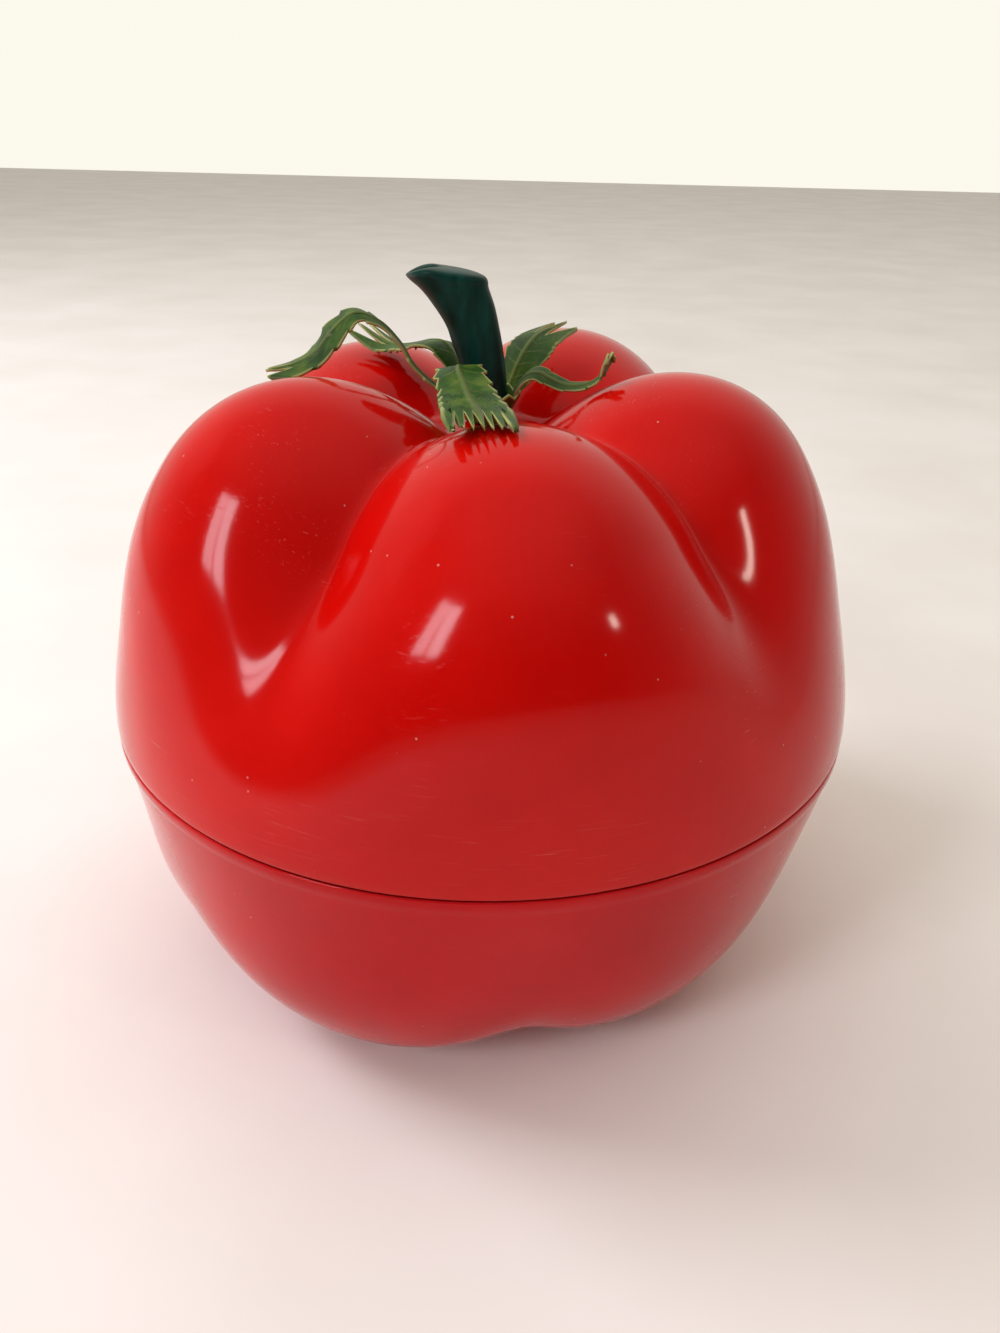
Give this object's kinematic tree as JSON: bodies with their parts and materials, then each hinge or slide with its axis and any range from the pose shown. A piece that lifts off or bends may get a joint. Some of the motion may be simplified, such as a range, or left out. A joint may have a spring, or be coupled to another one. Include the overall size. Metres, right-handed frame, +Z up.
{
  "type": "lidded tomato container",
  "caption": "Hard plastic tomato with a lobed lift-off lid over a round tub, a horn-shaped stem as the lid's handle and a whorl of moulded leaves.",
  "frame": {"origin": "middle of the underside, on the container's axis, at the height of the five flat feet", "axes": "+Z up along the container's axis, -Y towards the viewer, +X to the viewer's right"},
  "size_m": [0.18, 0.1799, 0.1664],
  "materials": {
    "shell_red": "high gloss, moulded",
    "liner_white": "satin, moulded",
    "foam_white": "expanded bead foam",
    "stem_green": "satin, moulded",
    "leaf_green": "soft moulded, pale edges",
    "zinc_steel": "zinc plated"
  },
  "bodies": {
    "base": {"base_shell": "shell_red", "base_insulation": "foam_white", "base_liner": "liner_white"},
    "lid": {"lid_shell": "shell_red", "lid_insulation": "foam_white", "lid_liner": "liner_white", "stem": "stem_green", "calyx": "leaf_green", "stem_screw": "zinc_steel", "stem_washer": "zinc_steel"}
  },
  "joints": [
    {"name": "lid_lift", "type": "slide", "parent": "base", "child": "lid", "axis": [0, 0, 1], "range_m": [0, 0.09]}
  ]
}
